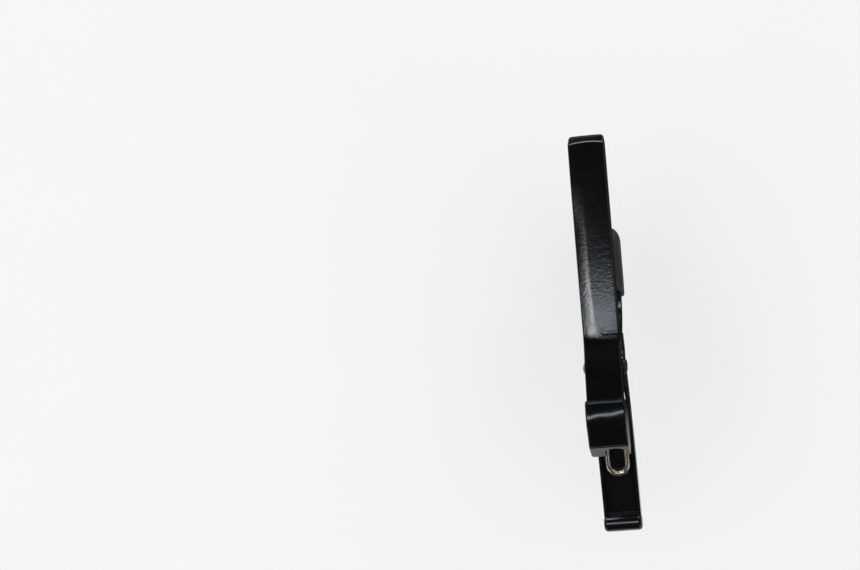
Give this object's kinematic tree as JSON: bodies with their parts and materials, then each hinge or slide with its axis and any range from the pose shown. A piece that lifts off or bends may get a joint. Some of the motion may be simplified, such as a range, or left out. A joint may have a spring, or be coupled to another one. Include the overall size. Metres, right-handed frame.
{
  "type": "guitar capo",
  "caption": "Spring-loaded trigger capo: padded bar with a raised grip handle, hinged to a curved claw and squeeze lever by a rivet and a double torsion spring.",
  "frame": {"origin": "on the string pad's pressing face, over the middle of the neck, in the middle of the bar's width", "axes": "+X across the neck from the bar's free end towards the handles, +Y along the neck, +Z away from the fretboard"},
  "size_m": [0.1275, 0.0141, 0.0477],
  "materials": {
    "black_paint": "semi-gloss powder coat with fine orange peel, on cast alloy",
    "black_rubber": "matte moulded rubber",
    "grip_rubber": "glossy soft-touch moulding",
    "rivet_steel": "plated steel",
    "nylon": "plain moulded nylon",
    "spring_steel": "nickel-plated spring wire"
  },
  "bodies": {
    "upper": {"upper_jaw": "black_paint", "string_pad": "black_rubber", "handle_grip": "grip_rubber", "torsion_spring": "spring_steel"},
    "lower": {"lower_jaw": "black_paint", "neck_boot": "black_rubber", "lever_cap": "grip_rubber", "pivot_rivet": "rivet_steel", "rivet_washer": "rivet_steel", "spring_bush": "nylon"}
  },
  "joints": [
    {"name": "jaw_hinge", "type": "hinge", "parent": "upper", "child": "lower", "pos_m": [0.036, 0, 0], "axis": [0, 1, 0], "range_deg": [-30, 23], "stiffness_Nm_per_rad": 0.9, "deforming": ["torsion_spring"]}
  ]
}
